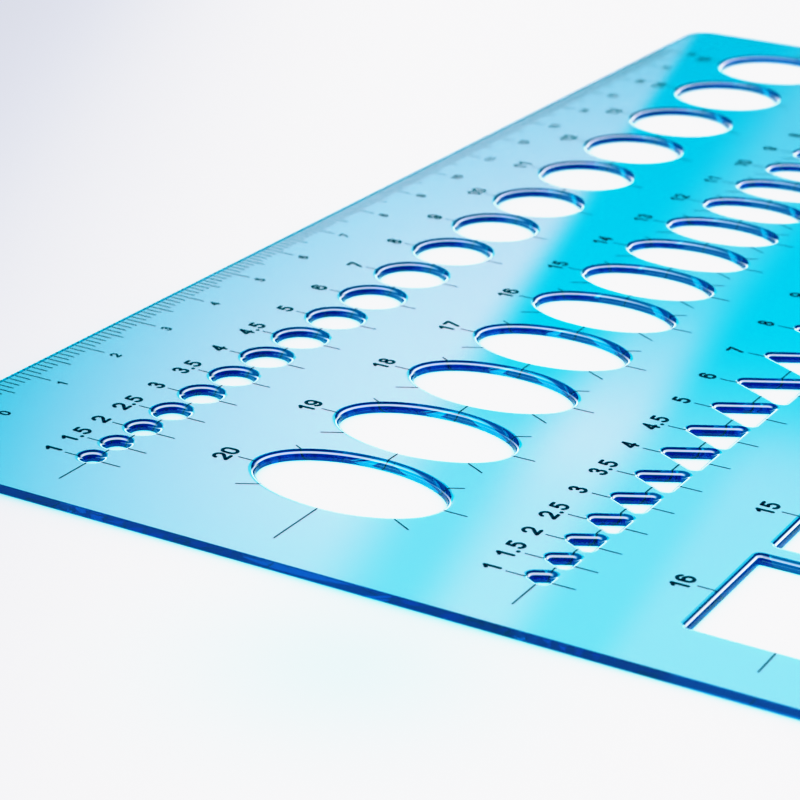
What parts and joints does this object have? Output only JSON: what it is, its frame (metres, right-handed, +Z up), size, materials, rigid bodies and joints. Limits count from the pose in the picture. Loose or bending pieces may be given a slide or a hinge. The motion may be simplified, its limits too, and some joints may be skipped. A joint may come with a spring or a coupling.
{
  "type": "drawing template",
  "caption": "Thin clear cyan drawing template with rows of circle, isometric ellipse, triangle and square openings, printed centre marks and sizes, and a centimetre scale on one edge.",
  "frame": {"origin": "middle of the sheet's underside, the face that lies on the paper", "axes": "+X along the scale, in the direction its numbers rise; +Y towards the scale edge; +Z up, out of the face with the rounded opening edges"},
  "size_m": [0.21, 0.12, 0.001],
  "materials": {
    "clear_cyan_plastic": "transparent cyan injection-moulded acrylic or styrene sheet, glossy on both faces, deep blue seen edge on",
    "printing_ink": "matt black screen-printing ink, seen through the cyan sheet as dark teal"
  },
  "bodies": {
    "root": {"template_sheet": "clear_cyan_plastic", "scale_centimetre_ticks": "printing_ink", "scale_half_centimetre_ticks": "printing_ink", "scale_millimetre_ticks": "printing_ink", "scale_numerals": "printing_ink", "circle_centre_marks": "printing_ink", "circle_size_numerals": "printing_ink", "ellipse_centre_marks": "printing_ink", "ellipse_size_numerals": "printing_ink", "triangle_centre_marks": "printing_ink", "triangle_size_numerals": "printing_ink", "square_centre_marks": "printing_ink", "square_size_numerals": "printing_ink"}
  },
  "joints": []
}
